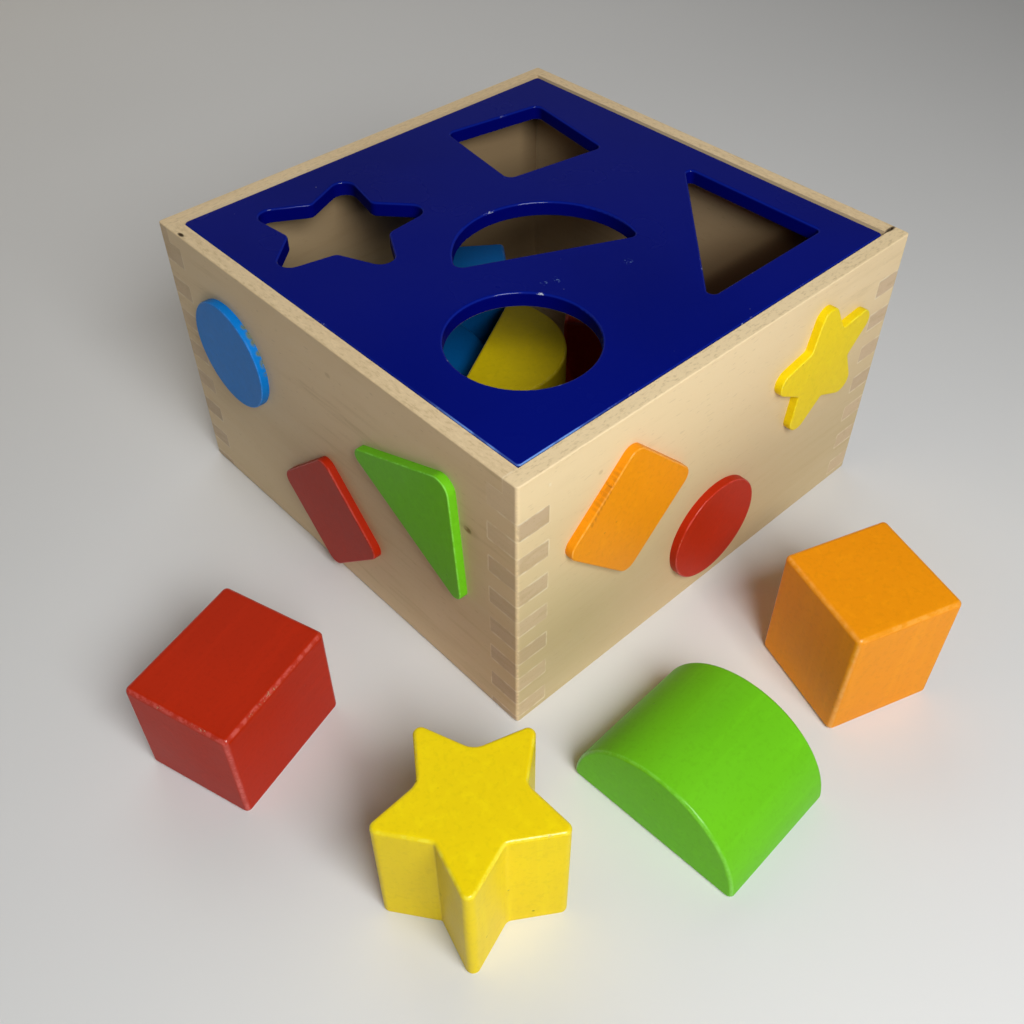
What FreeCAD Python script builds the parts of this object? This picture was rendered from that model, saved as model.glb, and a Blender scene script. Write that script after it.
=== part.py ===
"""Wooden shape sorter: a finger-jointed box, a lift-out lid with five shaped holes, and blocks.

Millimetres. +Z is up. The origin is the centre of the box's footprint, on the floor it stands on.
The front wall faces -Y and the right wall faces +X. Every solid is one separate wooden piece.
"""
import FreeCAD, Part
import math
import os

# ---- driving dimensions of the box ----
BOX_SIDE = 180.0
BOX_HEIGHT = 106.7
WALL_THICKNESS = 12.0
RIM_THICKNESS = 5.5
LID_THICKNESS = 5.5
LID_DROP = 0.4
LID_GAP = 0.7
BOTTOM_THICKNESS = 6.0
BOTTOM_HEIGHT = 12.0
GROOVE_DEPTH = 5.0
PANEL_SLACK = 0.2
# the glue has opened at one end of the back rim: width along the rim and depth into it
RIM_CRACK = (0.9, 3.8)

# ---- finger joints at the four upright corners ----
FIRST_FINGER = 3.4
FINGER_HEIGHT = 6.88
FINGER_COUNT = 7

# ---- rounding of sanded edges ----
BOX_EDGE = 1.2
FOOT_EDGE = 1.5
RIM_EDGE = 0.5
LID_EDGE = 0.8
DECOR_EDGE = 0.6
BLOCK_EDGE = 1.3
SQUARE_EDGE = 1.8
LID_CORNER = 1.5

# ---- flat shapes glued to the walls ----
DECOR_THICKNESS = 3.0
DECOR_DISC_RADIUS = 20.0
DECOR_SQUARE_CORNER = 4.5
DECOR_TRIANGLE = {"width": 62.3, "height": 42.3, "base_round": 3.0, "peak_round": 5.0}
DECOR_STAR = {"tip": 32.9, "valley": 14.2, "tip_round": 4.7, "valley_rounds": 5 * (1.2,)}

# ---- blocks ----
SQUARE_SIDE = 38.8
BLOCK_LENGTH = 46.2
ROUND_RADIUS = 22.6
HALF_RADIUS = 30.3
HALF_CORNER = 2.0
STAR = {"tip": 29.8, "valley": 15.6, "tip_round": 2.2, "valley_rounds": (6.0, 5.0, 1.0, 2.5, 4.0)}

# ---- holes in the lid: each block's own outline with room to spare ----
SQUARE_HOLE_SIDE = 42.0
SQUARE_HOLE_CORNER = 3.0
SQUARE_HOLE_TURN = -9.0
SQUARE_HOLE_CENTRE = (-47.4, 41.8)
ROUND_HOLE_RADIUS = 24.0
ROUND_HOLE_CENTRE = (43.7, -44.5)
STAR_HOLE = {"tip": 34.9, "valley": 17.65, "tip_round": 4.5, "valley_rounds": 5 * (3.2,)}
STAR_HOLE_TURN = 50.6
STAR_HOLE_CENTRE = (-45.7, -46.0)
TRIANGLE_HOLE_LEGS = (60.0, 58.6)
TRIANGLE_HOLE_CORNER = 2.0
TRIANGLE_HOLE_PEAK = (68.1, 70.4)
HALF_HOLE_RADIUS = 31.8
HALF_HOLE_CORNER = 3.0
HALF_HOLE_TURN = 65.0
HALF_HOLE_CENTRE = (14.8, -5.5)

# ---- worked out from the above ----
HALF_SIDE = BOX_SIDE / 2
INNER_HALF = HALF_SIDE - WALL_THICKNESS
RIM_INNER = HALF_SIDE - RIM_THICKNESS
LEDGE_HEIGHT = BOX_HEIGHT - LID_DROP - LID_THICKNESS
LID_SIDE = 2 * (RIM_INNER - LID_GAP)
FINGER_PITCH = 2 * FINGER_HEIGHT
FLOOR_INSIDE = BOTTOM_HEIGHT + BOTTOM_THICKNESS
HALF_SQUARE = SQUARE_SIDE / 2
HALF_LENGTH = BLOCK_LENGTH / 2

TOUCHING = 0.001
UP = FreeCAD.Vector(0, 0, 1)
ORIGIN = FreeCAD.Vector(0, 0, 0)


# ---- small tools ----
def box_between(low, high):
    """A box from its lowest corner to its highest corner."""
    sizes = [high[i] - low[i] for i in range(3)]
    return Part.makeBox(*sizes, FreeCAD.Vector(*low))


def fuse_all(shapes):
    """One clean solid from touching shapes."""
    joined = shapes[0].multiFuse(shapes[1:])
    return joined.removeSplitter()


def moved(shape, turn=0.0, place=(0.0, 0.0, 0.0)):
    """The shape turned about Z at the origin, then moved."""
    copy = shape.copy()
    copy.rotate(ORIGIN, UP, turn)
    copy.translate(FreeCAD.Vector(*place))
    return copy


def edges_at_height(solid, heights):
    """The edges that lie flat at any of the given heights."""
    found = []
    for edge in solid.Edges:
        low = edge.BoundBox.ZMin
        level = edge.BoundBox.ZLength < TOUCHING
        if level and any(abs(low - height) < TOUCHING for height in heights):
            found.append(edge)
    return found


# ---- flat outlines, as lists of (x, y, corner radius) ----
def square_corners(side, radius):
    half = side / 2
    return [(-half, -half, radius), (half, -half, radius), (half, half, radius), (-half, half, radius)]


def star_corners(tip, valley, tip_round, valley_rounds):
    """Five-pointed star with its first tip on +Y; tip and valley are the sharp radii."""
    corners = []
    for point, valley_round in enumerate(valley_rounds):
        tip_angle = math.radians(90 + 72 * point)
        valley_angle = tip_angle + math.radians(36)
        corners.append((tip * math.cos(tip_angle), tip * math.sin(tip_angle), tip_round))
        corners.append((valley * math.cos(valley_angle), valley * math.sin(valley_angle), valley_round))
    return corners


def right_triangle_corners(leg_x, leg_y, radius):
    """Right-angled corner at the origin, with legs towards -X and -Y."""
    return [(0.0, 0.0, radius), (-leg_x, 0.0, radius), (0.0, -leg_y, radius)]


def isosceles_corners(width, height, base_round, peak_round):
    """Base along X below the origin, peak on +Y, with the origin at a third of the height."""
    base = -height / 3
    return [(-width / 2, base, base_round), (width / 2, base, base_round), (0.0, base + height, peak_round)]


def rounded_face(corners):
    """A flat face with straight sides and an arc at each corner."""
    count = len(corners)
    arcs = []
    for index, (x, y, radius) in enumerate(corners):
        here = FreeCAD.Vector(x, y, 0)
        before = FreeCAD.Vector(*corners[index - 1][:2], 0)
        after = FreeCAD.Vector(*corners[(index + 1) % count][:2], 0)
        back = (before - here).normalize()
        ahead = (after - here).normalize()
        half_angle = back.getAngle(ahead) / 2
        middle = (back + ahead).normalize()
        run = radius / math.tan(half_angle)
        centre = here + middle * (radius / math.sin(half_angle))
        arcs.append((here + back * run, centre - middle * radius, here + ahead * run))
    edges = []
    for index, (start, middle, end) in enumerate(arcs):
        edges.append(Part.Arc(start, middle, end).toShape())
        edges.append(Part.makeLine(end, arcs[(index + 1) % count][0]))
    return Part.Face(Part.Wire(edges))


def circle_face(radius):
    return Part.Face(Part.Wire(Part.makeCircle(radius)))


def half_round_face(radius, corner):
    """Half a disc above the X axis, its two sharp corners rounded."""
    reach = math.sqrt((radius - corner) ** 2 - corner ** 2)
    lean = math.atan2(corner, reach)
    edges = []
    touch = FreeCAD.Vector(radius * math.cos(lean), radius * math.sin(lean), 0)
    mirror = FreeCAD.Vector(-touch.x, touch.y, 0)
    edges.append(Part.Arc(touch, FreeCAD.Vector(0, radius, 0), mirror).toShape())
    bend = (lean - math.pi / 2) / 2
    bulge = FreeCAD.Vector(reach + corner * math.cos(bend), corner + corner * math.sin(bend), 0)
    left_bulge = FreeCAD.Vector(-bulge.x, bulge.y, 0)
    left_foot = FreeCAD.Vector(-reach, 0, 0)
    right_foot = FreeCAD.Vector(reach, 0, 0)
    edges.append(Part.Arc(mirror, left_bulge, left_foot).toShape())
    edges.append(Part.makeLine(left_foot, right_foot))
    edges.append(Part.Arc(right_foot, bulge, touch).toShape())
    return Part.Face(Part.Wire(edges))


def slab(face, thickness, softened=0.0, both=True):
    """The face raised into a solid, with the edges of its ends rounded."""
    solid = face.extrude(FreeCAD.Vector(0, 0, thickness))
    if softened > 0:
        heights = [0.0, thickness] if both else [thickness]
        solid = solid.makeFillet(softened, edges_at_height(solid, heights))
    return solid


# ---- the box ----
def finger_spans():
    """Heights of the fingers that belong to the front and back walls."""
    starts = [FIRST_FINGER + FINGER_PITCH * number for number in range(FINGER_COUNT)]
    return [(start, start + FINGER_HEIGHT) for start in starts]


def socket_spans():
    """Heights of the fingers that belong to the left and right walls, up to the lid's ledge."""
    ends = [0.0]
    for low, high in finger_spans():
        ends += [low, high]
    ends.append(LEDGE_HEIGHT)
    return list(zip(ends[0::2], ends[1::2]))


def sanded_envelope():
    """The whole box as one block with rounded outer edges, used to soften every wall alike."""
    low = (-HALF_SIDE, -HALF_SIDE, 0)
    block = box_between(low, (HALF_SIDE, HALF_SIDE, BOX_HEIGHT))
    uprights = [edge for edge in block.Edges if edge.BoundBox.ZLength > BOX_HEIGHT / 2]
    block = block.makeFillet(BOX_EDGE, uprights)
    block = block.makeFillet(FOOT_EDGE, edges_at_height(block, [0.0]))
    return block.makeFillet(RIM_EDGE, edges_at_height(block, [BOX_HEIGHT]))


def wall(spans, rim_half_length):
    """The wall on the -Y side: inner board, corner fingers at the given heights and the thin rim."""
    parts = [box_between((-INNER_HALF, -HALF_SIDE, 0), (INNER_HALF, -INNER_HALF, LEDGE_HEIGHT))]
    for low, high in spans:
        parts.append(box_between((-HALF_SIDE, -HALF_SIDE, low), (-INNER_HALF, -INNER_HALF, high)))
        parts.append(box_between((INNER_HALF, -HALF_SIDE, low), (HALF_SIDE, -INNER_HALF, high)))
    rim_low = (-rim_half_length, -HALF_SIDE, LEDGE_HEIGHT)
    parts.append(box_between(rim_low, (rim_half_length, -RIM_INNER, BOX_HEIGHT)))
    reach = INNER_HALF + GROOVE_DEPTH
    groove = box_between((-reach, -reach, BOTTOM_HEIGHT), (reach, reach, FLOOR_INSIDE))
    return fuse_all(parts).cut(groove)


def rim_crack():
    """The slit where the back rim has come away from the right rim, down to the lid's ledge."""
    width, depth = RIM_CRACK
    low = (RIM_INNER - width, RIM_INNER, LEDGE_HEIGHT)
    return box_between(low, (RIM_INNER, RIM_INNER + depth, BOX_HEIGHT))


def walls():
    """Front and back walls carry the fingers; the side walls carry the sockets and the full rim."""
    envelope = sanded_envelope()
    fingered = wall(finger_spans(), RIM_INNER)
    socketed = wall(socket_spans(), HALF_SIDE)
    turned = {
        "front_wall": moved(fingered, 0),
        "right_wall": moved(socketed, 90),
        "back_wall": moved(fingered, 180).cut(rim_crack()),
        "left_wall": moved(socketed, 270),
    }
    return {name: board.common(envelope).removeSplitter() for name, board in turned.items()}


def bottom_panel():
    reach = INNER_HALF + GROOVE_DEPTH - PANEL_SLACK
    return box_between((-reach, -reach, BOTTOM_HEIGHT), (reach, reach, FLOOR_INSIDE))


# ---- the lid ----
def lid_holes():
    """The five hole outlines, each at its place on the lid."""
    square = rounded_face(square_corners(SQUARE_HOLE_SIDE, SQUARE_HOLE_CORNER))
    star = rounded_face(star_corners(**STAR_HOLE))
    triangle = rounded_face(right_triangle_corners(*TRIANGLE_HOLE_LEGS, TRIANGLE_HOLE_CORNER))
    half_round = half_round_face(HALF_HOLE_RADIUS, HALF_HOLE_CORNER)
    return [
        moved(square, SQUARE_HOLE_TURN, (*SQUARE_HOLE_CENTRE, 0)),
        moved(circle_face(ROUND_HOLE_RADIUS), 0, (*ROUND_HOLE_CENTRE, 0)),
        moved(star, STAR_HOLE_TURN, (*STAR_HOLE_CENTRE, 0)),
        moved(triangle, 0, (*TRIANGLE_HOLE_PEAK, 0)),
        moved(half_round, HALF_HOLE_TURN, (*HALF_HOLE_CENTRE, 0)),
    ]


def lid():
    board = slab(rounded_face(square_corners(LID_SIDE, LID_CORNER)), LID_THICKNESS)
    for hole in lid_holes():
        board = board.cut(slab(hole, LID_THICKNESS))
    board = board.makeFillet(LID_EDGE, edges_at_height(board, [0.0, LID_THICKNESS]))
    return moved(board, 0, (0, 0, LEDGE_HEIGHT))


# ---- shapes glued to the walls ----
def onto_wall(shape, along, height, lean, wall_turn):
    """Stand a flat shape upright on the -Y wall, leaning by an angle, then carry it to another wall."""
    piece = shape.copy()
    piece.rotate(ORIGIN, UP, lean)
    piece.rotate(ORIGIN, FreeCAD.Vector(1, 0, 0), 90)
    piece.translate(FreeCAD.Vector(along, -HALF_SIDE, height))
    piece.rotate(ORIGIN, UP, wall_turn)
    return piece


def decor(face):
    return slab(face, DECOR_THICKNESS, DECOR_EDGE, both=False)


def disc_decor():
    return decor(circle_face(DECOR_DISC_RADIUS))


def square_decor():
    return decor(rounded_face(square_corners(SQUARE_SIDE, DECOR_SQUARE_CORNER)))


def triangle_decor():
    return decor(rounded_face(isosceles_corners(**DECOR_TRIANGLE)))


def star_decor():
    return decor(rounded_face(star_corners(**DECOR_STAR)))


def wall_decor():
    """Three shapes on each wall; opposite walls carry the same three."""
    disc = disc_decor()
    square = square_decor()
    triangle = triangle_decor()
    star = star_decor()
    pieces = {}
    for side, wall_turn in (("front", 0), ("back", 180)):
        pieces[side + "_blue_disc"] = onto_wall(disc, -53.5, 71.0, 0, wall_turn)
        pieces[side + "_red_square"] = onto_wall(square, -3.3, 30.2, 42, wall_turn)
        pieces[side + "_green_triangle"] = onto_wall(triangle, 49.2, 69.7, -32.2, wall_turn)
    for side, wall_turn in (("right", 90), ("left", 270)):
        pieces[side + "_orange_square"] = onto_wall(square, -45.5, 69.3, 45.5, wall_turn)
        pieces[side + "_red_disc"] = onto_wall(disc, 0.4, 29.5, 0, wall_turn)
        pieces[side + "_yellow_star"] = onto_wall(star, 49.0, 74.0, 9.1, wall_turn)
    return pieces


# ---- blocks ----
def square_block():
    """Square prism standing on its end."""
    solid = box_between((-HALF_SQUARE, -HALF_SQUARE, 0), (HALF_SQUARE, HALF_SQUARE, BLOCK_LENGTH))
    return solid.makeFillet(SQUARE_EDGE, solid.Edges)


def lying_square_block():
    """The same prism lying with its length along X."""
    solid = box_between((-HALF_LENGTH, -HALF_SQUARE, 0), (HALF_LENGTH, HALF_SQUARE, SQUARE_SIDE))
    return solid.makeFillet(SQUARE_EDGE, solid.Edges)


def star_block():
    return slab(rounded_face(star_corners(**STAR)), BLOCK_LENGTH, BLOCK_EDGE)


def standing_half_round():
    """Half-round block standing on its end, flat side on the X axis and curve towards +Y."""
    return slab(half_round_face(HALF_RADIUS, HALF_CORNER), BLOCK_LENGTH, BLOCK_EDGE)


def lying_half_round():
    """Half-round block lying on its flat side with its length along X."""
    block = standing_half_round()
    block.rotate(ORIGIN, FreeCAD.Vector(1, 0, 0), 90)
    block.translate(FreeCAD.Vector(0, HALF_LENGTH, 0))
    block.rotate(ORIGIN, UP, 90)
    return block


def lying_round_block():
    """Round block lying on its side with its length along X."""
    block = slab(circle_face(ROUND_RADIUS), BLOCK_LENGTH, BLOCK_EDGE)
    block.translate(FreeCAD.Vector(0, 0, -HALF_LENGTH))
    block.rotate(ORIGIN, FreeCAD.Vector(0, 1, 0), 90)
    block.translate(FreeCAD.Vector(0, 0, ROUND_RADIUS))
    return block


def blocks():
    """Four blocks lie on the floor beside the box and four have been posted into it."""
    return {
        "red_square_block": moved(lying_square_block(), 107.6, (32.7, -156.0, 0)),
        "orange_square_block": moved(square_block(), 71.0, (148.7, 6.1, 0)),
        "yellow_star_block": moved(star_block(), 10.6, (121.1, -135.4, 0)),
        "green_half_round_block": moved(lying_half_round(), 92.7, (144.2, -64.5, 0)),
        "posted_yellow_half_round": moved(standing_half_round(), -60.6, (-4.7, -18.6, FLOOR_INSIDE)),
        "posted_blue_square": moved(square_block(), -37.0, (-46.6, 6.3, FLOOR_INSIDE)),
        "posted_blue_round": moved(lying_round_block(), -60.6, (-21.4, -37.3, FLOOR_INSIDE)),
        "posted_red_square": moved(square_block(), 38.0, (8.3, 40.2, FLOOR_INSIDE)),
    }


def main():
    pieces = walls()
    pieces["bottom_panel"] = bottom_panel()
    pieces["lid"] = lid()
    pieces.update(wall_decor())
    pieces.update(blocks())
    os.makedirs("parts", exist_ok=True)
    for name, solid in pieces.items():
        solid.exportStep("parts/" + name + ".step")


main()
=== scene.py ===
"""Looks of the wooden shape sorter: wood, paint, floor, soft light and camera round the fixed frame."""
import math

import bpy
from mathutils import Matrix, Vector


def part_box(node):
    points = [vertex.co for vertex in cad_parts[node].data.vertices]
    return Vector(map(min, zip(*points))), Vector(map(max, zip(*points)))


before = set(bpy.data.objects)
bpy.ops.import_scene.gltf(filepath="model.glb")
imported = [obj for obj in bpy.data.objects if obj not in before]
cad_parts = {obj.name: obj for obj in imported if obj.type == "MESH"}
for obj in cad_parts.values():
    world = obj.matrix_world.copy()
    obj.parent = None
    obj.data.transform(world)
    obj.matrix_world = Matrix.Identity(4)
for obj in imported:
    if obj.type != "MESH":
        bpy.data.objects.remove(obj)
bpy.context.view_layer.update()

# ---- the box, read from the frame ----
MM = 0.001
WALL_LOW, WALL_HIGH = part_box("front_wall")
SIDE = WALL_HIGH.x - WALL_LOW.x
HALF = SIDE / 2
HEIGHT = WALL_HIGH.z
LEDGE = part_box("lid")[0].z
LID_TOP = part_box("lid")[1].z
INNER = HALF - (WALL_HIGH.y - WALL_LOW.y)
LID_GAP = 0.7 * MM
RIM_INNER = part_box("lid")[1].x + LID_GAP
# the finger joints: foot of the lowest finger, height of each, and the topmost step below the ledge
FINGER_START = 3.4 * MM
FINGER_HEIGHT = 6.88 * MM
TOP_STEP = 13.0


def shaded(colour, factor):
    """The colour made darker or paler by one factor, never above white."""
    return tuple(min(1.0, part * factor) for part in colour)


# ---- colours, as linear light ----
WOOD_PALE = (0.83, 0.635, 0.385)
WOOD_DEEP = (0.75, 0.555, 0.320)
# paler wood, which on the right wall stands in for the stronger light on that side
WOOD_PALER = (1.0, 0.810, 0.490)
WOOD_STREAK = (0.52, 0.370, 0.190)
WOOD_FLECK = (0.40, 0.255, 0.120)
WOOD_SHADE = (0.50, 0.380, 0.190)
# dark brown of the plywood's fibres, and of the painted shade inside the box
WOOD_FIBRE_AND_INSIDE_SHADE = (0.22, 0.140, 0.066)
# the deepest painted shade inside the box
WOOD_DEEPEST_SHADE = (0.05, 0.018, 0.007)
END_GRAIN_PALE = (0.67, 0.495, 0.315)
END_GRAIN_DEEP = (0.57, 0.415, 0.260)
GLUE_LINE = (0.97, 0.850, 0.640)
KNOT = (0.22, 0.120, 0.045)
PORE = (0.05, 0.028, 0.012)
BARE_WOOD = (0.62, 0.470, 0.280)
LID_BLUE = (0.0009, 0.0050, 0.182)
LID_WALL_BLUE = (0.0005, 0.0018, 0.150)
LID_EDGE_SHEEN_BLUE = (0.010, 0.035, 0.420)
LID_PAINTED_HIGHLIGHT = (0.22, 0.420, 0.950)
CHIP_WHITE = (0.70, 0.740, 0.800)
BLUE = (0.003, 0.215, 0.700)
RED = (0.50, 0.022, 0.003)
ORANGE = (0.94, 0.320, 0.005)
YELLOW = (0.93, 0.690, 0.004)
GREEN = (0.160, 0.570, 0.012)
FLOOR = (0.79, 0.785, 0.785)
CHIPPED_BLUE = (0.16, 0.190, 0.080)
LID_SCUFF = (0.12, 0.200, 0.480)
CRACK = (0.10, 0.035, 0.010)
SCRATCHED_ORANGE = (0.50, 0.160, 0.010)
# colours of the blocks posted inside the box, darkened as painted shade for the shade they sit in
SHADE_PAINTED_YELLOW = shaded(YELLOW, 0.75)
SHADE_PAINTED_BLUE = shaded(BLUE, 0.6)
DEEPER_SHADE_PAINTED_BLUE = shaded(BLUE, 0.4)
BACKDROP = (0.50, 0.500, 0.490)

# ---- wood textures: features per metre along the grain, and across it both ways ----
GRAIN_CLOUDS = (9, 26, 26)
GRAIN_STREAKS = (26, 340, 340)
STREAKY_PATCHES = (16, 22, 22)
RAY_FLECKS = (300, 1500, 1500)
GROWTH_RINGS = (40, 90, 420)
END_PORES = (900, 900, 1300)
SANDED_SPECKLE = (420, 1000, 1000)
VENEER_WAVES = (9, 55, 40)
VENEER_FIBRES = (60, 900, 900)

# ---- other textures: features per metre in every direction ----
GLUE_PATCHES = 210.0
LID_CLOUDS = 12.0
LID_PEEL = 60.0
LID_FINE_PEEL = 560.0
LID_GLOSS_PATCHES = 30.0
LID_CHIP_GROUPS = 70.0
LID_CHIPS = 800.0
LID_NIBS = 160.0
LID_DUSTY_PATCHES = 22.0
LID_SCRATCHES = 1100.0
LID_HIGHLIGHT_STREAKS = 160.0
PAINT_ALONG_GRAIN = 22.0
PAINT_ACROSS_GRAIN = 300.0
PAINT_PEBBLES = 620.0
PAINT_CLOUDS = 22.0
PAINT_RUBBING = 420.0
PAINT_CHIPS = 1500.0
PAINT_CHIP_GROUPS = 110.0
PAINT_PITS = 190.0
PAINT_PIT_PATCHES = 48.0
FLOOR_CLOUDS = 3.0
FLOOR_GRIT = 420.0

# ---- how deep the textures stand ----
GRAIN_DEPTH = 0.12 * MM
HOLLOW_DEPTH = 0.30 * MM
VENEER_DEPTH = 0.08 * MM
PEEL_DEPTH = 0.30 * MM
FINE_PEEL_DEPTH = 0.04 * MM
LID_CHIP_DEPTH = 0.12 * MM
PEBBLE_DEPTH = 0.07 * MM
PAINT_CHIP_DEPTH = 0.20 * MM
GRIT_DEPTH = 0.05 * MM

# ---- the four boards ----
# turn brings the board's length onto X; sockets is 0 or 1, as its slots are the even or the odd
# finger heights; tone is its paleness, and on the right wall also paints the stronger light on that side;
# the next is how much painted shade darkens it towards the floor; the next is painted shade on its inner
# face, first end and second; ends is how clearly its finger ends stand out, low down and high up
BOARDS = {
    "front_wall": {"turn": 0, "sockets": 1, "tone": 0.90, "painted_foot_shade": 0.15,
                   "inside_shades": (0.70, 0.70), "ends": (0.70, 1.0)},
    "back_wall": {"turn": 0, "sockets": 1, "tone": 1.00, "painted_foot_shade": 0.20,
                  "inside_shades": (0.50, 0.96), "ends": (0.60, 1.0)},
    "right_wall": {"turn": 90, "sockets": 0, "tone": 1.30, "painted_foot_shade": 0.62,
                   "inside_shades": (0.70, 0.70), "ends": (1.0, 0.50)},
    "left_wall": {"turn": 90, "sockets": 0, "tone": 1.00, "painted_foot_shade": 0.20,
                  "inside_shades": (0.85, 0.72), "ends": (1.0, 0.60)},
}

# where along a board the painted shade on its inner face changes, the height where that is read, and how
# far it slants with height
INSIDE_SHADE_FROM = 0.07 * SIDE
INSIDE_SHADE_TO = 0.26 * SIDE
INSIDE_SHADE_HEIGHT = 0.46 * SIDE
INSIDE_SHADE_SLANT = 0.9

# ---- the blocks: turn in degrees and the axis each was pushed out along, as in the CAD ----
BLOCKS = {
    "red_square_block": {"colour": RED, "turn": 107.6, "axis": 0, "edges": "all",
                         "wear_and_highlight": 0.80, "pits": 0.3},
    "orange_square_block": {"colour": ORANGE, "turn": 71.0, "axis": 2, "edges": "all",
                            "wear_and_highlight": 0.50, "pits": 0.2},
    "yellow_star_block": {"colour": YELLOW, "turn": 10.6, "axis": 2, "edges": "ends",
                          "wear_and_highlight": 0.50, "pits": 0.9},
    "green_half_round_block": {"colour": GREEN, "turn": 92.7, "axis": 0, "edges": "ends",
                               "wear_and_highlight": 0.45, "pits": 0.6},
    # the posted blocks inside the box carry painted shade in their colours
    "posted_yellow_half_round": {"colour": SHADE_PAINTED_YELLOW, "turn": -60.6, "axis": 2, "edges": "ends",
                                 "wear_and_highlight": 0.40, "pits": 0.2},
    "posted_blue_square": {"colour": SHADE_PAINTED_BLUE, "turn": -37.0, "axis": 2, "edges": "all",
                           "wear_and_highlight": 0.40, "pits": 0.2},
    "posted_blue_round": {"colour": DEEPER_SHADE_PAINTED_BLUE, "turn": -60.6, "axis": 0, "edges": "ends",
                          "wear_and_highlight": 0.40, "pits": 0.2},
    "posted_red_square": {"colour": RED, "turn": 38.0, "axis": 2, "edges": "all",
                          "wear_and_highlight": 0.40, "pits": 0.2},
}

# ---- colour of the shapes glued to the walls, and their wear with a painted highlight on the edges ----
SHAPE_COLOURS = {
    "blue_disc": BLUE,
    "red_square": RED,
    "green_triangle": GREEN,
    "orange_square": ORANGE,
    "red_disc": RED,
    "yellow_star": YELLOW,
}
SHAPE_WEAR_AND_HIGHLIGHT = {"blue_disc": 0.6, "orange_square": 0.7, "green_triangle": 0.8}
USUAL_WEAR_AND_HIGHLIGHT = 0.55
SHAPE_GLOSS = 0.3
BLOCK_GLOSS = 0.8

# ---- wear of single places, and white marks on hole edges that are partly painted highlights: x and y in box sides, reach in millimetres ----
LID_SCUFFS = [(0.150, -0.108, 1.6), (0.158, -0.084, 2.2), (0.205, 0.050, 2.0)]
# white marks on the lid's hole edges: partly bare nicks, partly painted highlights
LID_NICKS_AND_HIGHLIGHTS = [(0.146, -0.259, 2.4), (0.170, -0.137, 1.6), (0.128, -0.231, 2.0), (-0.062, -0.022, 3.2)]
# chips round the disc's rim: degrees up from its right-hand side, reach in millimetres
DISC_CHIPS = [(57, 1.6), (47, 2.2), (39, 1.7), (28, 1.5), (17, 2.4), (6, 1.2)]

# ---- light: azimuth, elevation, distance, size, power, colour, whether gloss mirrors it ----
LIGHTS = {
    "window": (-21, 43, 4.4 * SIDE, 1.9 * SIDE, 4.8, (0.98, 1.0, 1.0), True),
    "far_fill": (150, 50, 5.0 * SIDE, 3.6 * SIDE, 1.5, (0.97, 0.985, 1.0), False),
    "left_fill": (-175, 35, 6.7 * SIDE, 4.4 * SIDE, 1.9, (1.0, 0.88, 0.66), False),
}
ALL_ROUND_LIGHT = 0.012
ALL_ROUND_COLOUR = (0.97, 0.985, 1.0)
MIRRORED_WALL = 0.08
# the mirrored wall fades out between these two, as sines of the angle above the horizon
MIRRORED_WALL_TOP = 0.74
MIRRORED_WALL_FOOT = 0.60

# ---- the floor: its half width, and how far from the object it begins and ends melting away ----
FLOOR_REACH = 40 * SIDE
FLOOR_MELTS = 4.2 * SIDE
FLOOR_GONE = 8.5 * SIDE

# ---- camera, close above the front corner ----
CAMERA_EYE = Vector((1.3126, -1.2569, 1.6723)) * SIDE
CAMERA_AIM = Vector((0.0982, -0.1409, 0.0)) * SIDE
CAMERA_ROLL = math.radians(-0.36)
SENSOR_WIDTH = 36.0
FOCAL_LENGTH = 38.26


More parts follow.
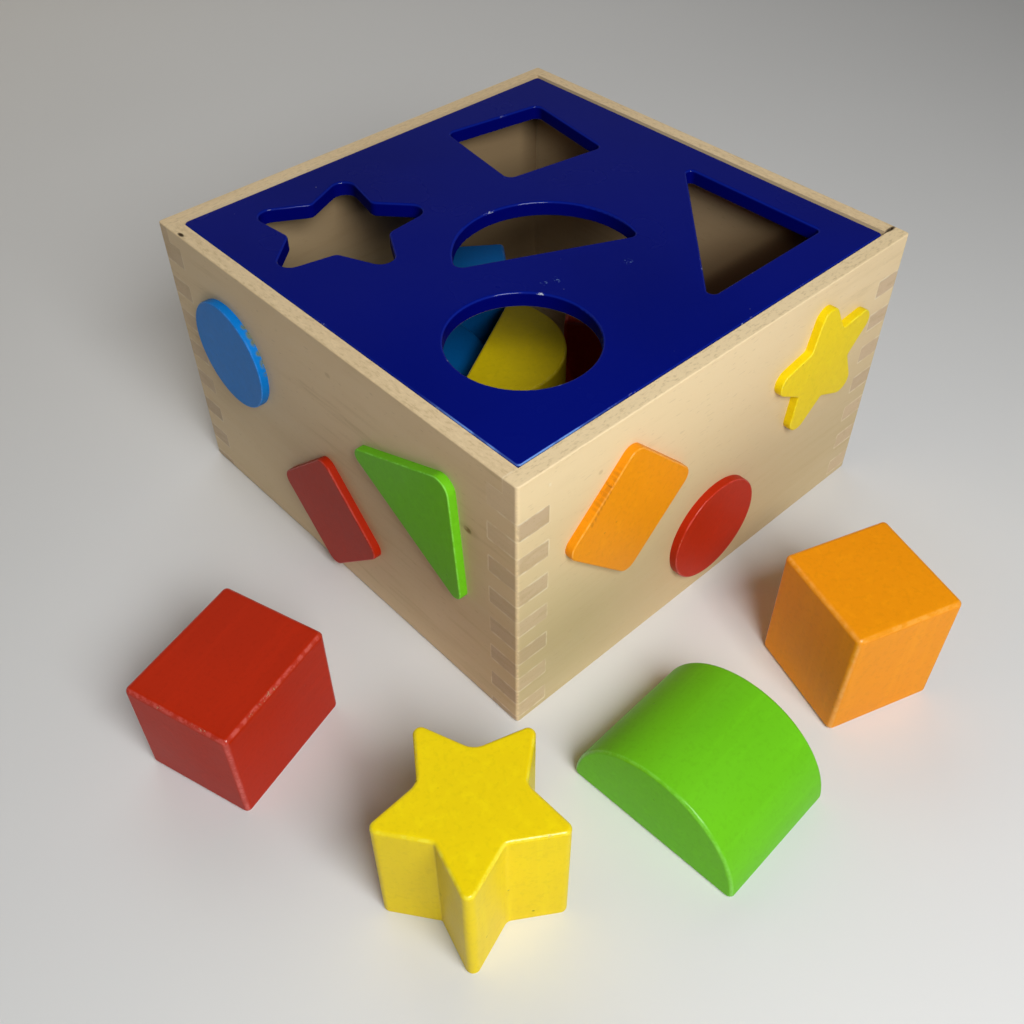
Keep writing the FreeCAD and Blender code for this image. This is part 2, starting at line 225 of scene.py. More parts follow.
class Look:
    """One material's node tree, with a short call for each node it is made of."""

    def __init__(self, name):
        self.material = bpy.data.materials.new(name)
        self.material.use_nodes = True
        self.tree = self.material.node_tree
        self.tree.nodes.clear()
        coordinates = self.add("ShaderNodeTexCoord")
        self.place = coordinates.outputs["Object"]
        self.facing = coordinates.outputs["Normal"]

    def add(self, kind, **settings):
        node = self.tree.nodes.new(kind)
        for key, value in settings.items():
            setattr(node, key, value)
        return node

    def feed(self, socket, value):
        """Join another node's output to a socket, or give the socket a plain value."""
        if isinstance(value, bpy.types.NodeSocket):
            self.tree.links.new(value, socket)
        elif socket.type == "RGBA":
            socket.default_value = (*value, 1.0)
        else:
            socket.default_value = value

    def maths(self, operation, *values):
        node = self.add("ShaderNodeMath", operation=operation)
        for socket, value in zip(node.inputs, values):
            self.feed(socket, value)
        return node.outputs[0]

    def product(self, first, *others):
        for other in others:
            first = self.maths("MULTIPLY", first, other)
        return first

    def size(self, value):
        return self.maths("ABSOLUTE", value)

    def split(self, vector):
        node = self.add("ShaderNodeSeparateXYZ")
        self.feed(node.inputs[0], vector)
        return node.outputs

    def turned(self, vector, degrees):
        """The vector turned about the upright axis."""
        node = self.add("ShaderNodeVectorRotate", rotation_type="Z_AXIS")
        self.feed(node.inputs["Vector"], vector)
        node.inputs["Angle"].default_value = math.radians(degrees)
        return node.outputs[0]

    def scaled(self, vector, scale, shift=(0.0, 0.0, 0.0)):
        node = self.add("ShaderNodeMapping")
        self.feed(node.inputs["Vector"], vector)
        node.inputs["Scale"].default_value = scale
        node.inputs["Location"].default_value = shift
        return node.outputs[0]

    def noise(self, vector, scale=1.0, detail=2.0, roughness=0.5, distortion=0.0):
        node = self.add("ShaderNodeTexNoise")
        self.feed(node.inputs["Vector"], vector)
        node.inputs["Scale"].default_value = scale
        node.inputs["Detail"].default_value = detail
        node.inputs["Roughness"].default_value = roughness
        node.inputs["Distortion"].default_value = distortion
        return node.outputs["Fac"]

    def scatter(self, vector, scale):
        """Distance to the nearest of many scattered points, in units of their spacing."""
        node = self.add("ShaderNodeTexVoronoi")
        self.feed(node.inputs["Vector"], vector)
        node.inputs["Scale"].default_value = scale
        return node.outputs["Distance"]

    def ease(self, value, low, high, start=0.0, end=1.0):
        """A smooth step from start to end as the value goes from low to high."""
        node = self.add("ShaderNodeMapRange", interpolation_type="SMOOTHSTEP")
        for socket, number in zip(node.inputs, (value, low, high, start, end)):
            self.feed(socket, number)
        return node.outputs[0]

    def blend(self, factor, first, second):
        node = self.add("ShaderNodeMix", data_type="RGBA")
        fac, first_socket, second_socket = node.inputs[0], node.inputs[6], node.inputs[7]
        self.feed(fac, factor)
        self.feed(first_socket, first)
        self.feed(second_socket, second)
        return node.outputs[2]

    def bump(self, height, distance, strength, under=None):
        node = self.add("ShaderNodeBump")
        self.feed(node.inputs["Height"], height)
        node.inputs["Distance"].default_value = distance
        node.inputs["Strength"].default_value = strength
        if under is not None:
            self.feed(node.inputs["Normal"], under)
        return node.outputs[0]

    def finish(self, colour, roughness, normal, coat=0.0, coat_roughness=0.1, specular=0.5):
        surface = self.add("ShaderNodeBsdfPrincipled")
        self.feed(surface.inputs["Base Color"], colour)
        self.feed(surface.inputs["Roughness"], roughness)
        self.feed(surface.inputs["Normal"], normal)
        self.feed(surface.inputs["Coat Weight"], coat)
        self.feed(surface.inputs["Coat Roughness"], coat_roughness)
        self.feed(surface.inputs["Coat Normal"], normal)
        self.feed(surface.inputs["Specular IOR Level"], specular)
        output = self.add("ShaderNodeOutputMaterial")
        self.tree.links.new(surface.outputs[0], output.inputs["Surface"])
        return self.material


# ---- masks shared by several materials ----
def spot(look, centre, radii):
    """A soft oval patch at one place on the object."""
    shift = tuple(-part / radius for part, radius in zip(centre, radii))
    squeezed = look.scaled(look.place, tuple(1 / radius for radius in radii), shift)
    length = look.add("ShaderNodeVectorMath", operation="LENGTH")
    look.feed(length.inputs[0], squeezed)
    return look.ease(length.outputs["Value"], 1.0, 0.4)


def rounded_edges(look, facing):
    """One on the rounded edges between any two flat faces of a block, nothing on the faces."""
    squares = [look.maths("MULTIPLY", part, part) for part in look.split(facing)]
    pairs = [look.product(squares[index - 1], squares[index]) for index in range(3)]
    total = look.maths("ADD", look.maths("ADD", pairs[0], pairs[1]), pairs[2])
    return look.maths("MINIMUM", look.product(total, 4.0), 1.0)


def end_edges(look, part):
    """One on the rounded edges round both ends of a shape pushed out along one axis."""
    square = look.maths("MULTIPLY", part, part)
    return look.product(square, look.maths("SUBTRACT", 1.0, square), 4.0)


# ---- wood ----
def long_grain(look, place, shift):
    """Sanded beech along the grain: faint clouds, patchy streaks and short dark ray flecks."""
    cloud = look.noise(look.scaled(place, GRAIN_CLOUDS, shift), detail=2.0)
    colour = look.blend(look.ease(cloud, 0.35, 0.70), WOOD_PALE, WOOD_DEEP)
    streaks = look.noise(look.scaled(place, GRAIN_STREAKS, shift), detail=3.0, roughness=0.6)
    patches = look.noise(look.scaled(place, STREAKY_PATCHES, shift), detail=1.0)
    streak_mask = look.product(look.ease(streaks, 0.50, 0.74), look.ease(patches, 0.40, 0.66), 0.42)
    colour = look.blend(streak_mask, colour, WOOD_STREAK)
    flecks = look.noise(look.scaled(place, RAY_FLECKS, shift), detail=1.0)
    return look.blend(look.ease(flecks, 0.66, 0.76, 0.0, 0.30), colour, WOOD_FLECK), streaks


def end_grain(look, place, height, shift):
    """The cut ends of the fingers: greyer, each a slightly different tone, with fine pores."""
    steps = look.maths("DIVIDE", look.maths("SUBTRACT", height, FINGER_START), FINGER_HEIGHT)
    step = look.maths("MINIMUM", look.maths("FLOOR", steps), TOP_STEP)
    tone = look.add("ShaderNodeTexWhiteNoise", noise_dimensions="1D")
    look.feed(tone.inputs["W"], look.maths("ADD", step, shift[0]))
    colour = look.blend(tone.outputs["Value"], END_GRAIN_DEEP, END_GRAIN_PALE)
    rings = look.noise(look.scaled(place, GROWTH_RINGS, shift), detail=2.0, distortion=0.8)
    colour = look.blend(look.ease(rings, 0.45, 0.65, 0.0, 0.35), colour, WOOD_STREAK)
    pores = look.scatter(look.scaled(place, END_PORES, shift), 1.0)
    return look.blend(look.ease(pores, 0.28, 0.10, 0.0, 0.35), colour, WOOD_FLECK)


def glue_lines(look, along, across, height, sockets):
    """Pale hairlines round the other boards' finger ends, only on the outside of the box.

    sockets is 0 or 1: whether this board's slots are the even or the odd finger heights.
    """
    steps = look.maths("DIVIDE", look.maths("SUBTRACT", height, FINGER_START), FINGER_HEIGHT)
    phase = look.maths("FRACT", steps)
    from_line = look.maths("MINIMUM", phase, look.maths("SUBTRACT", 1.0, phase))
    along_size = look.size(along)
    corner = look.ease(along_size, INNER - 0.3 * MM, INNER)
    below_top = look.ease(steps, TOP_STEP + 0.6, TOP_STEP + 0.5)
    level = look.product(look.ease(from_line, 0.075, 0.035), corner, below_top)
    from_shoulder = look.size(look.maths("SUBTRACT", along_size, INNER))
    parity = look.maths("FLOORED_MODULO", look.maths("FLOOR", steps), 2.0)
    in_slot = parity if sockets else look.maths("SUBTRACT", 1.0, parity)
    upright = look.product(look.ease(from_shoulder, 0.60 * MM, 0.30 * MM), in_slot)
    below_ledge = look.ease(height, LEDGE + 0.2 * MM, LEDGE)
    above_ledge = look.maths("SUBTRACT", 1.0, below_ledge)
    fingers = look.product(look.maths("MAXIMUM", level, upright), below_ledge)
    from_ledge = look.size(look.maths("SUBTRACT", height, LEDGE))
    from_rim_end = look.size(look.maths("SUBTRACT", along_size, RIM_INNER))
    ledge_line = look.product(look.ease(from_ledge, 0.45 * MM, 0.20 * MM), corner)
    rim_end = look.product(look.ease(from_rim_end, 0.45 * MM, 0.20 * MM), above_ledge)
    above = look.product(look.maths("MAXIMUM", ledge_line, rim_end), float(sockets))
    farther = look.maths("MAXIMUM", along_size, look.size(across))
    outside = look.ease(farther, INNER + 3 * MM, INNER + 4 * MM)
    patchy = look.ease(look.noise(look.place, GLUE_PATCHES), 0.38, 0.62, 0.15, 1.0)
    return look.product(look.maths("MAXIMUM", fingers, above), outside, patchy)


def wall_marks(look, colour):
    """A knot, bruises, a pin pore and the dark open joint at the back rim's end, each in its place."""
    knot_height = 0.42 * SIDE
    halo = spot(look, (0.387 * SIDE, -HALF, knot_height + 0.5 * MM), (5.5 * MM, 2 * MM, 2.6 * MM))
    knot = spot(look, (0.384 * SIDE, -HALF, knot_height), (2.1 * MM, 2 * MM, 1.5 * MM))
    heart = spot(look, (0.380 * SIDE, -HALF, knot_height + 0.3 * MM), (0.9 * MM, 2 * MM, 0.7 * MM))
    bruise = spot(look, (0.03 * SIDE, -HALF, 0.527 * SIDE), (1.8 * MM, 2 * MM, 1.2 * MM))
    fleck = spot(look, (HALF, -0.322 * SIDE, 0.511 * SIDE), (2 * MM, 1.2 * MM, 1.1 * MM))
    pore = spot(look, (-0.426 * SIDE, 1.1 * MM - HALF, HEIGHT), (2.2 * MM, 1.0 * MM, 2 * MM))
    rim_end = (RIM_INNER - 0.3 * MM, (RIM_INNER + HALF) / 2, HEIGHT - MM)
    crack = spot(look, rim_end, (1.1 * MM, 3.6 * MM, 6 * MM))
    colour = look.blend(look.product(halo, 0.35), colour, WOOD_STREAK)
    colour = look.blend(look.product(knot, 0.85), colour, KNOT)
    colour = look.blend(look.product(heart, 0.75), colour, WOOD_STREAK)
    colour = look.blend(look.product(look.maths("ADD", bruise, fleck), 0.45), colour, WOOD_STREAK)
    colour = look.blend(look.maths("MAXIMUM", pore, crack), colour, PORE)
    return colour, look.maths("ADD", look.product(knot, 0.5), pore)


def speckled(look, colour, speckle, upward):
    """Dark and pale flecks of sanded open grain, only where the wood faces up."""
    darker = look.product(look.ease(speckle, 0.50, 0.68), upward, 0.45)
    colour = look.blend(darker, colour, WOOD_STREAK)
    paler = look.product(look.ease(speckle, 0.46, 0.34), upward, 0.45)
    return look.blend(paler, colour, shaded(WOOD_PALE, 1.08))


def painted_shade_inside(look, colour, place, inside_shades):
    """Painted shade on the inner faces of the box, changing along a slanting line from one strength to
    the other.
    """
    along, across, height = place
    farther = look.maths("MAXIMUM", look.size(along), look.size(across))
    inside = look.ease(farther, INNER + 1.0 * MM, INNER + 0.2 * MM)
    rise = look.product(look.maths("SUBTRACT", height, INSIDE_SHADE_HEIGHT), INSIDE_SHADE_SLANT)
    inside_darkness = look.ease(look.maths("SUBTRACT", along, rise), INSIDE_SHADE_FROM, INSIDE_SHADE_TO, *inside_shades)
    colour = look.blend(look.product(inside, inside_darkness), colour, WOOD_FIBRE_AND_INSIDE_SHADE)
    # the deepest painted shade, where the inner shade is strongest
    deepest = look.ease(inside_darkness, 0.86, 0.96, 0.0, 0.75)
    return look.blend(look.product(inside, deepest), colour, WOOD_DEEPEST_SHADE)


def wood(name, shift, turn, sockets, tone, painted_foot_shade, inside_shades, ends):
    """Sanded pale wood of one board; BOARDS tells what the last six settings mean."""
    look = Look(name)
    place = look.turned(look.place, turn)
    facing = look.split(look.turned(look.facing, turn))
    along, across, height = look.split(place)
    colour, streaks = long_grain(look, place, shift)
    # paleness of the board; the right wall's high tone paints the stronger light falling on that side
    colour = look.blend(abs(1.0 - tone), colour, WOOD_SHADE if tone < 1.0 else WOOD_PALER)
    # painted shade: the board grows darker towards the floor, standing in for light that falls off lower
    # down
    foot = look.ease(height, 0.98 * HEIGHT, 0.25 * HEIGHT, 0.0, painted_foot_shade)
    colour = look.blend(foot, colour, WOOD_SHADE)

    upward = look.ease(facing[2], 0.80, 0.97)
    speckle = look.noise(look.scaled(place, SANDED_SPECKLE, shift), detail=3.0, roughness=0.65)
    colour = speckled(look, colour, speckle, upward)

    endwise = look.ease(look.size(facing[0]), 0.5, 0.8)
    clear = look.ease(height, 0.06 * SIDE, 0.50 * SIDE, *ends)
    colour = look.blend(look.product(endwise, clear), colour, end_grain(look, place, height, shift))
    glue = glue_lines(look, along, across, height, sockets)
    colour = look.blend(look.product(glue, 0.42), colour, GLUE_LINE)
    # paler rounded edges: wear, and partly a painted highlight along them
    wear_and_highlight = look.product(rounded_edges(look, look.facing), look.ease(speckle, 0.30, 0.60, 0.75, 0.25))
    colour = look.blend(wear_and_highlight, colour, shaded(WOOD_PALE, 1.16))
    colour, dent = wall_marks(look, colour)
    # painted shade on the inner faces of the box
    colour = painted_shade_inside(look, colour, (along, across, height), inside_shades)

    grain_height = look.maths("ADD", streaks, look.product(speckle, upward))
    normal = look.bump(grain_height, GRAIN_DEPTH, 0.35)
    hollow = look.maths("ADD", look.product(glue, 0.25), dent)
    normal = look.bump(look.maths("SUBTRACT", 1.0, hollow), HOLLOW_DEPTH, 0.7, normal)
    roughness = look.ease(streaks, 0.3, 0.8, 0.48, 0.64)
    return look.finish(colour, roughness, normal, coat=0.05, coat_roughness=0.35, specular=0.3)


def plywood(name):
    """The bottom panel: rotary-cut face veneer with broad waves."""
    look = Look(name)
    waves = look.noise(look.scaled(look.place, VENEER_WAVES), detail=4.0, roughness=0.6, distortion=0.8)
    fine = look.noise(look.scaled(look.place, VENEER_FIBRES), detail=2.0)
    colour = look.blend(look.ease(waves, 0.35, 0.65), shaded(WOOD_DEEP, 0.5), shaded(WOOD_DEEP, 0.38))
    colour = look.blend(look.ease(fine, 0.5, 0.75, 0.0, 0.4), colour, WOOD_FIBRE_AND_INSIDE_SHADE)
    normal = look.bump(fine, VENEER_DEPTH, 0.5)
    return look.finish(colour, look.ease(waves, 0.3, 0.7, 0.55, 0.7), normal)


# ---- paint ----
def lid_marks(look, edge):
    """Scuffs by the half-round hole, white nicks on hole edges that are partly painted highlights, and a
    painted highlight along the front corner.
    """
    fine = look.noise(look.place, LID_SCRATCHES, roughness=0.6)
    broken = look.ease(fine, 0.48, 0.58)
    scuffs = 0.0
    nicks_and_highlights = 0.0
    for x, y, reach in LID_SCUFFS:
        mark = spot(look, (x * SIDE, y * SIDE, LID_TOP), (reach * MM, reach * MM, 2 * MM))
        scuffs = look.maths("ADD", scuffs, look.product(mark, look.ease(fine, 0.56, 0.62)))
    for x, y, reach in LID_NICKS_AND_HIGHLIGHTS:
        mark = spot(look, (x * SIDE, y * SIDE, LID_TOP), (reach * MM, reach * MM, 2 * MM))
        nicks_and_highlights = look.maths("ADD", nicks_and_highlights, look.product(mark, look.ease(edge, 0.2, 0.7), broken))
    # painted highlight: light blue along the edges near the front corner
    corner = spot(look, (RIM_INNER, -RIM_INNER, LID_TOP), (44 * MM, 44 * MM, 6 * MM))
    streaky = look.ease(look.noise(look.place, LID_HIGHLIGHT_STREAKS), 0.36, 0.60, 0.25, 1.0)
    return scuffs, nicks_and_highlights, look.product(corner, look.ease(edge, 0.3, 0.9), streaky)


def lid_paint(name):
    """Glossy deep blue with a slight orange peel, dust nibs, scuffs, white chips along the edges, a
    painted sheen on them and a painted highlight by the front corner.
    """
    look = Look(name)
    upright_part = look.split(look.facing)[2]
    edge = end_edges(look, upright_part)
    cloud = look.noise(look.place, LID_CLOUDS, detail=3.0)
    colour = look.blend(look.ease(cloud, 0.35, 0.70), LID_BLUE, shaded(LID_BLUE, 0.86))
    sides = look.ease(look.size(upright_part), 0.6, 0.2)
    colour = look.blend(sides, colour, LID_WALL_BLUE)
    # paler blue along the rounded edges: a painted sheen, partly paint worn thin there
    colour = look.blend(look.product(edge, 0.30), colour, LID_EDGE_SHEEN_BLUE)

    fine = look.ease(look.noise(look.place, LID_CHIPS, roughness=0.6), 0.52, 0.62)
    coarse = look.ease(look.noise(look.place, LID_CHIP_GROUPS), 0.62, 0.72)
    chips = look.product(fine, coarse, look.ease(edge, 0.15, 0.6))
    colour = look.blend(look.product(chips, 0.5), colour, CHIP_WHITE)
    nibs = look.ease(look.scatter(look.place, LID_NIBS), 0.050, 0.022)
    dusty = look.ease(look.noise(look.place, LID_DUSTY_PATCHES, detail=1.0), 0.57, 0.68)
    dust = look.product(nibs, dusty, look.ease(upright_part, 0.8, 1.0))
    scuffs, nicks_and_highlights, painted_highlight = lid_marks(look, edge)
    colour = look.blend(look.product(dust, 0.30), colour, CHIP_WHITE)
    # painted highlight along the lid's edges by the front corner
    colour = look.blend(look.product(painted_highlight, 0.8), colour, LID_PAINTED_HIGHLIGHT)
    colour = look.blend(look.product(scuffs, 0.7), colour, LID_SCUFF)
    # white marks on hole edges: partly bare nicks, partly painted highlights
    colour = look.blend(look.product(nicks_and_highlights, 0.75), colour, CHIP_WHITE)

    normal = look.bump(look.noise(look.place, LID_PEEL), PEEL_DEPTH, 0.06)
    normal = look.bump(look.noise(look.place, LID_FINE_PEEL), FINE_PEEL_DEPTH, 0.15, normal)
    raised = look.maths("ADD", look.maths("ADD", dust, scuffs), look.maths("SUBTRACT", 1.0, chips))
    normal = look.bump(raised, LID_CHIP_DEPTH, 0.6, normal)
    gloss_patches = look.noise(look.place, LID_GLOSS_PATCHES, detail=3.0)
    roughness = look.ease(gloss_patches, 0.3, 0.7, 0.20, 0.28)
    roughness = look.maths("ADD", roughness, look.product(sides, 0.30))
    glancing = look.ease(look.add("ShaderNodeLayerWeight").outputs["Facing"], 0.34, 0.64)
    flat = look.product(look.maths("SUBTRACT", 1.0, sides), glancing)
    coat = look.maths("ADD", look.product(edge, 0.5), look.product(flat, 0.05))
    specular = look.product(look.maths("ADD", flat, 0.05), 0.26)
    return look.finish(colour, roughness, normal, coat=coat, coat_roughness=0.10, specular=specular)


def paint_chips(look, place, edge, wear_and_highlight):
    """Small clustered spots along the edges where the paint has gone."""
    fine = look.ease(look.noise(place, PAINT_CHIPS, roughness=0.6), 0.56, 0.64)
    coarse = look.ease(look.noise(place, PAINT_CHIP_GROUPS), 0.62 - 0.1 * wear_and_highlight, 0.72)
    return look.product(fine, coarse, look.ease(edge, 0.35, 0.75), min(1.0, 1.2 * wear_and_highlight))


def paint_pits(look, place, facing, pits):
    """Pin holes in the paint, scattered in patches and fewer on faces that look up."""
    holes = look.ease(look.scatter(place, PAINT_PITS), 0.105, 0.050)
    patches = look.noise(place, PAINT_PIT_PATCHES, detail=1.0)
    pitted = look.ease(patches, 0.62 - 0.12 * pits, 0.66 - 0.10 * pits)
    beside = look.ease(look.split(facing)[2], 0.95, 0.70, 0.25, 1.0)
    return look.product(holes, pitted, beside, pits)


def paint(name, shift, colour, axis, wear_and_highlight, turn=0.0, edges="ends", pits=0.3, gloss=BLOCK_GLOSS, marks=()):
    """Satin paint over wood: faint grain, paler rubbed edges that are partly a painted highlight, small
    chips, pits and brush texture.

    turn is the block's own turn about the upright axis, axis the direction it was pushed out along.
    edges tells whether all edges are rubbed or only those round its two ends, and gloss is the clear
    coat on them. Each of the marks is a place on the object, three reaches, a colour and a strength.
    """
    look = Look(name)
    place = look.scaled(look.turned(look.place, -turn), (1.0, 1.0, 1.0), shift)
    facing = look.turned(look.facing, -turn)
    all_edges = edges == "all"
    edge = rounded_edges(look, facing) if all_edges else end_edges(look, look.split(facing)[axis])

    stretch = [PAINT_ACROSS_GRAIN, PAINT_ACROSS_GRAIN, PAINT_ACROSS_GRAIN]
    stretch[axis] = PAINT_ALONG_GRAIN
    grain = look.noise(look.scaled(place, tuple(stretch)), detail=3.0, roughness=0.6)
    pebble = look.noise(place, PAINT_PEBBLES, roughness=0.6)
    cloud = look.noise(place, PAINT_CLOUDS)
    shade = look.blend(look.ease(cloud, 0.30, 0.70), shaded(colour, 0.94), colour)
    shade = look.blend(look.ease(grain, 0.45, 0.80, 0.0, 0.40), shade, shaded(colour, 1.16))
    shade = look.blend(look.ease(pebble, 0.50, 0.30, 0.0, 0.30), shade, shaded(colour, 0.80))

    rub = look.noise(place, PAINT_RUBBING, detail=3.0, roughness=0.65)
    # paler rubbed edges: worn paint, and partly a painted highlight along them
    rubbed_and_highlight = look.product(look.ease(edge, 0.20, 0.90), look.ease(rub, 0.42, 0.60, 0.20, 1.0), wear_and_highlight)
    shade = look.blend(rubbed_and_highlight, shade, tuple(min(1.0, 1.20 * part + 0.08) for part in colour))
    chip = paint_chips(look, place, edge, wear_and_highlight)
    shade = look.blend(look.product(chip, 0.6), shade, BARE_WOOD)

    pit = paint_pits(look, place, facing, pits)
    shade = look.blend(look.product(pit, 0.75), shade, shaded(colour, 0.25))
    for centre, reaches, mark_colour, strength in marks:
        mark = look.product(spot(look, centre, reaches), look.ease(rub, 0.34, 0.50), strength)
        shade = look.blend(mark, shade, mark_colour)

    normal = look.bump(grain, GRAIN_DEPTH, 0.30)
    normal = look.bump(pebble, PEBBLE_DEPTH, 0.40, normal)
    hollow = look.maths("ADD", chip, pit)
    normal = look.bump(look.maths("SUBTRACT", 1.0, hollow), PAINT_CHIP_DEPTH, 0.8, normal)
    roughness = look.ease(cloud, 0.3, 0.7, 0.34, 0.44)
    roughness = look.maths("ADD", roughness, look.product(chip, 0.25))
    thick_edge = look.product(edge, gloss)
    return look.finish(shade, roughness, normal, coat=thick_edge, coat_roughness=0.16, specular=0.10)


# ---- putting materials on the pieces ----
def dress(node, material):
    """Give the CAD node this one material in all its slots."""
    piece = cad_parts[node]
    if not piece.material_slots:
        piece.data.materials.append(None)
    for slot in piece.material_slots:
        slot.link = "OBJECT"
        slot.material = material


def dress_box():
    """Four boards, each cut from another stretch of the grain, the panel and the lid."""
    for index, (node, board) in enumerate(BOARDS.items()):
        shift = (1.7 * index, 2.3 * index, 5.1 * index)
        dress(node, wood("wood_" + node, shift, **board))
    dress("bottom_panel", plywood("plywood"))
    dress("lid", lid_paint("lid_paint"))


def disc_chips():
    """Bare spots round the front disc's rim, on the side next to the wall."""
    low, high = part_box("front_blue_disc")
    middle = (low + high) / 2
    radius = (high.x - low.x) / 2
    by_wall = high.y - 0.2 * MM
    chips = []
    for degrees, reach in DISC_CHIPS:
        angle = math.radians(degrees)
        place = (middle.x + radius * math.cos(angle), by_wall, middle.z + radius * math.sin(angle))
        chips.append((place, (reach * MM, 1.5 * MM, reach * MM), CHIPPED_BLUE, 0.9))
    return chips


def square_scratches():
    """A rough line along the upper left edge of the orange square on the right wall, and one crack."""
    face = HALF + 2.0 * MM
    start = Vector((face, -0.352 * SIDE, 0.427 * SIDE))
    end = Vector((face, -0.277 * SIDE, 0.525 * SIDE))
    last = 12
    scratches = []
    for step in range(last + 1):
        place = start.lerp(end, step / last)
        scratches.append((tuple(place), (3 * MM, 0.9 * MM, 1.7 * MM), SCRATCHED_ORANGE, 0.5))
    crack_place = (face, -0.311 * SIDE, 0.486 * SIDE)
    scratches.append((crack_place, (4 * MM, 0.5 * MM, 1.5 * MM), CRACK, 1.0))
    return scratches


def dress_wall_shapes():
    """Front and back shapes are pushed out along Y, left and right ones along X."""
    marks = {"front_blue_disc": disc_chips(), "right_orange_square": square_scratches()}
    for index, node in enumerate(sorted(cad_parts)):
        side, _, shape = node.partition("_")
        if shape not in SHAPE_COLOURS or side not in ("front", "back", "left", "right"):
            continue
        axis = 1 if side in ("front", "back") else 0
        shift = (0.11 * index, 0.07 * index, 0.05 * index)
        wear_and_highlight = SHAPE_WEAR_AND_HIGHLIGHT.get(shape, USUAL_WEAR_AND_HIGHLIGHT)
        own_marks = marks.get(node, ())
        material = paint(
            "paint_" + node, shift, SHAPE_COLOURS[shape], axis, wear_and_highlight, gloss=SHAPE_GLOSS, marks=own_marks
        )
        dress(node, material)


def dress_blocks():
    for index, (node, block) in enumerate(BLOCKS.items()):
        shift = (0.31 * index, 0.17 * index, 0.23 * index)
        dress(node, paint("paint_" + node, shift, **block))


# ---- floor, light and camera ----
def floor():
    """A plain pale floor that, to the camera only, melts into the backdrop far from the object."""
    look = Look("pale_floor")
    cloud = look.noise(look.place, FLOOR_CLOUDS, detail=3.0)
    grit = look.noise(look.place, FLOOR_GRIT)
    colour = look.blend(look.ease(cloud, 0.3, 0.7), FLOOR, shaded(FLOOR, 0.98))
    normal = look.bump(grit, GRIT_DEPTH, 0.2)
    look.finish(colour, 0.6, normal, specular=0.25)
    surface = look.tree.nodes["Principled BSDF"]
    output = look.tree.nodes["Material Output"]
    glow = look.add("ShaderNodeEmission")
    look.feed(glow.inputs["Color"], BACKDROP)
    distance = look.add("ShaderNodeVectorMath", operation="LENGTH")
    look.feed(distance.inputs[0], look.place)
    far = look.ease(distance.outputs["Value"], FLOOR_MELTS, FLOOR_GONE)
    seen = look.add("ShaderNodeLightPath").outputs["Is Camera Ray"]
    mix = look.add("ShaderNodeMixShader")
    look.feed(mix.inputs[0], look.product(far, seen))
    look.feed(mix.inputs[1], surface.outputs[0])
    look.feed(mix.inputs[2], glow.outputs[0])
    look.feed(output.inputs["Surface"], mix.outputs[0])

    mesh = bpy.data.meshes.new("floor")
    corners = [(x * FLOOR_REACH, y * FLOOR_REACH, 0) for x, y in ((-1, -1), (1, -1), (1, 1), (-1, 1))]
    mesh.from_pydata(corners, [], [(0, 1, 2, 3)])
    mesh.materials.append(look.material)
    plane = bpy.data.objects.new("floor", mesh)
    bpy.context.scene.collection.objects.link(plane)


def soft_light(name, azimuth, elevation, distance, size, power, colour, mirrored):
    """A square soft box aimed at the object; azimuth is counted from +X towards +Y, in degrees."""
    light = bpy.data.lights.new(name, "AREA")
    light.shape = "SQUARE"
    light.size = size
    light.energy = power
    light.color = colour
    lamp = bpy.data.objects.new(name, light)
    sideways = Matrix.Rotation(math.radians(azimuth), 3, "Z")
    upwards = Matrix.Rotation(-math.radians(elevation), 3, "Y")
    lamp.location = sideways @ upwards @ Vector((distance, 0, 0))
    lamp.rotation_euler = (-lamp.location).to_track_quat("-Z", "Y").to_euler()
    lamp.visible_glossy = mirrored
    bpy.context.scene.collection.objects.link(lamp)


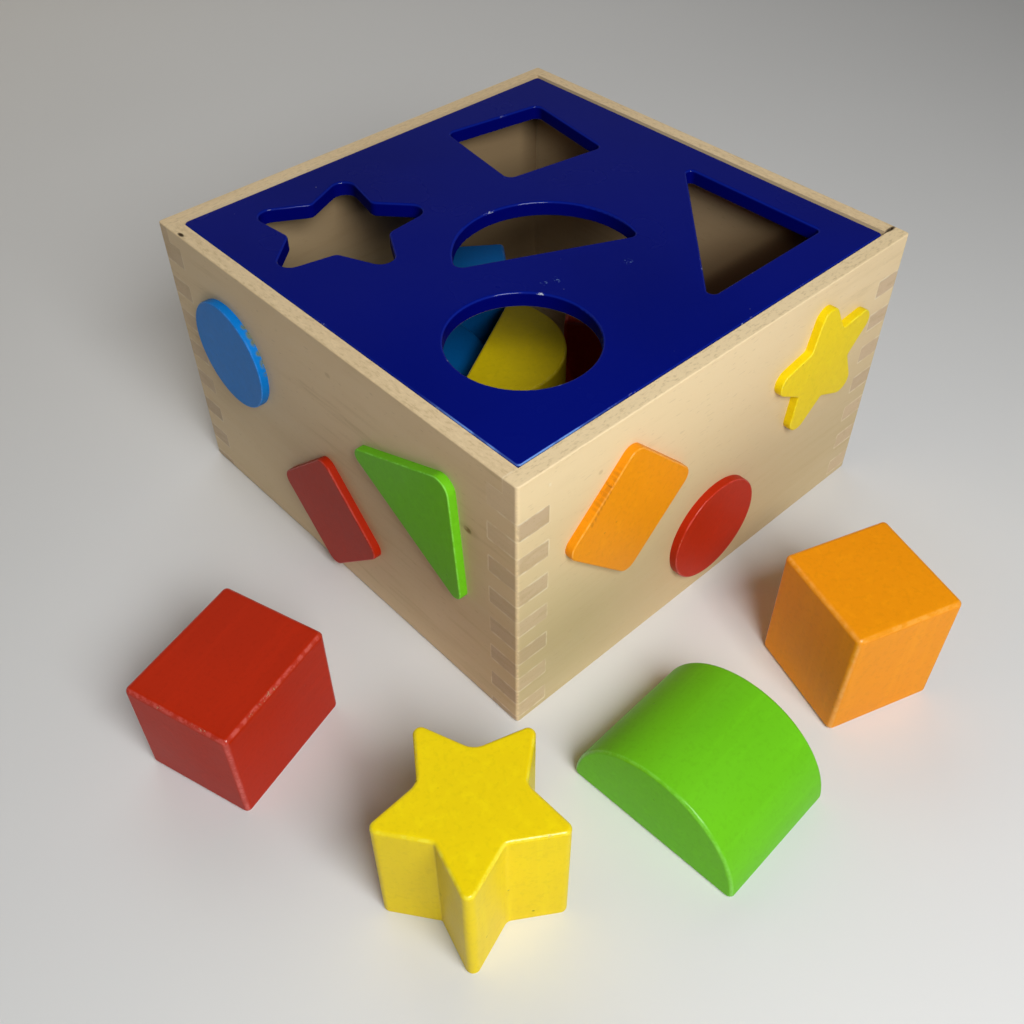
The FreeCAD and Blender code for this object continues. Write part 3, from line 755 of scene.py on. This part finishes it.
def surroundings():
    """Even weak light from all round.

    Glossy paint mirrors a pale wall low down, and the camera sees only a plain backdrop.
    """
    world = bpy.data.worlds.new("surroundings")
    world.use_nodes = True
    tree = world.node_tree
    path = tree.nodes.new("ShaderNodeLightPath")
    direction = tree.nodes.new("ShaderNodeSeparateXYZ")
    tree.links.new(tree.nodes.new("ShaderNodeTexCoord").outputs["Generated"], direction.inputs[0])
    low_down = tree.nodes.new("ShaderNodeMapRange")
    low_down.interpolation_type = "SMOOTHSTEP"
    fade = (MIRRORED_WALL_TOP, MIRRORED_WALL_FOOT, 0.0, MIRRORED_WALL)
    for socket, number in zip(low_down.inputs[1:5], fade):
        socket.default_value = number
    tree.links.new(direction.outputs["Z"], low_down.inputs[0])
    glossy = tree.nodes.new("ShaderNodeMath")
    glossy.operation = "MULTIPLY_ADD"
    tree.links.new(path.outputs["Is Glossy Ray"], glossy.inputs[0])
    tree.links.new(low_down.outputs[0], glossy.inputs[1])
    glossy.inputs[2].default_value = ALL_ROUND_LIGHT
    weak = tree.nodes["Background"]
    weak.inputs["Color"].default_value = (*ALL_ROUND_COLOUR, 1.0)
    tree.links.new(glossy.outputs[0], weak.inputs["Strength"])
    pale = tree.nodes.new("ShaderNodeBackground")
    pale.inputs["Color"].default_value = (*BACKDROP, 1.0)
    mix = tree.nodes.new("ShaderNodeMixShader")
    tree.links.new(path.outputs["Is Camera Ray"], mix.inputs[0])
    tree.links.new(weak.outputs[0], mix.inputs[1])
    tree.links.new(pale.outputs[0], mix.inputs[2])
    tree.links.new(mix.outputs[0], tree.nodes["World Output"].inputs["Surface"])
    bpy.context.scene.world = world


def camera():
    """Looks down from close above the front corner at the box and the blocks before it."""
    lens = bpy.data.cameras.new("camera")
    lens.sensor_width = SENSOR_WIDTH
    lens.lens = FOCAL_LENGTH
    lens.clip_start = 10 * MM
    view = bpy.data.objects.new("camera", lens)
    facing = (CAMERA_AIM - CAMERA_EYE).to_track_quat("-Z", "Y").to_matrix()
    turn = facing @ Matrix.Rotation(CAMERA_ROLL, 3, "Z")
    view.matrix_world = Matrix.Translation(CAMERA_EYE) @ turn.to_4x4()
    bpy.context.scene.collection.objects.link(view)
    bpy.context.scene.camera = view


dress_box()
dress_wall_shapes()
dress_blocks()
floor()
surroundings()
for light_name, setting in LIGHTS.items():
    soft_light(light_name, *setting)
camera()
bpy.context.scene.view_settings.view_transform = "Standard"
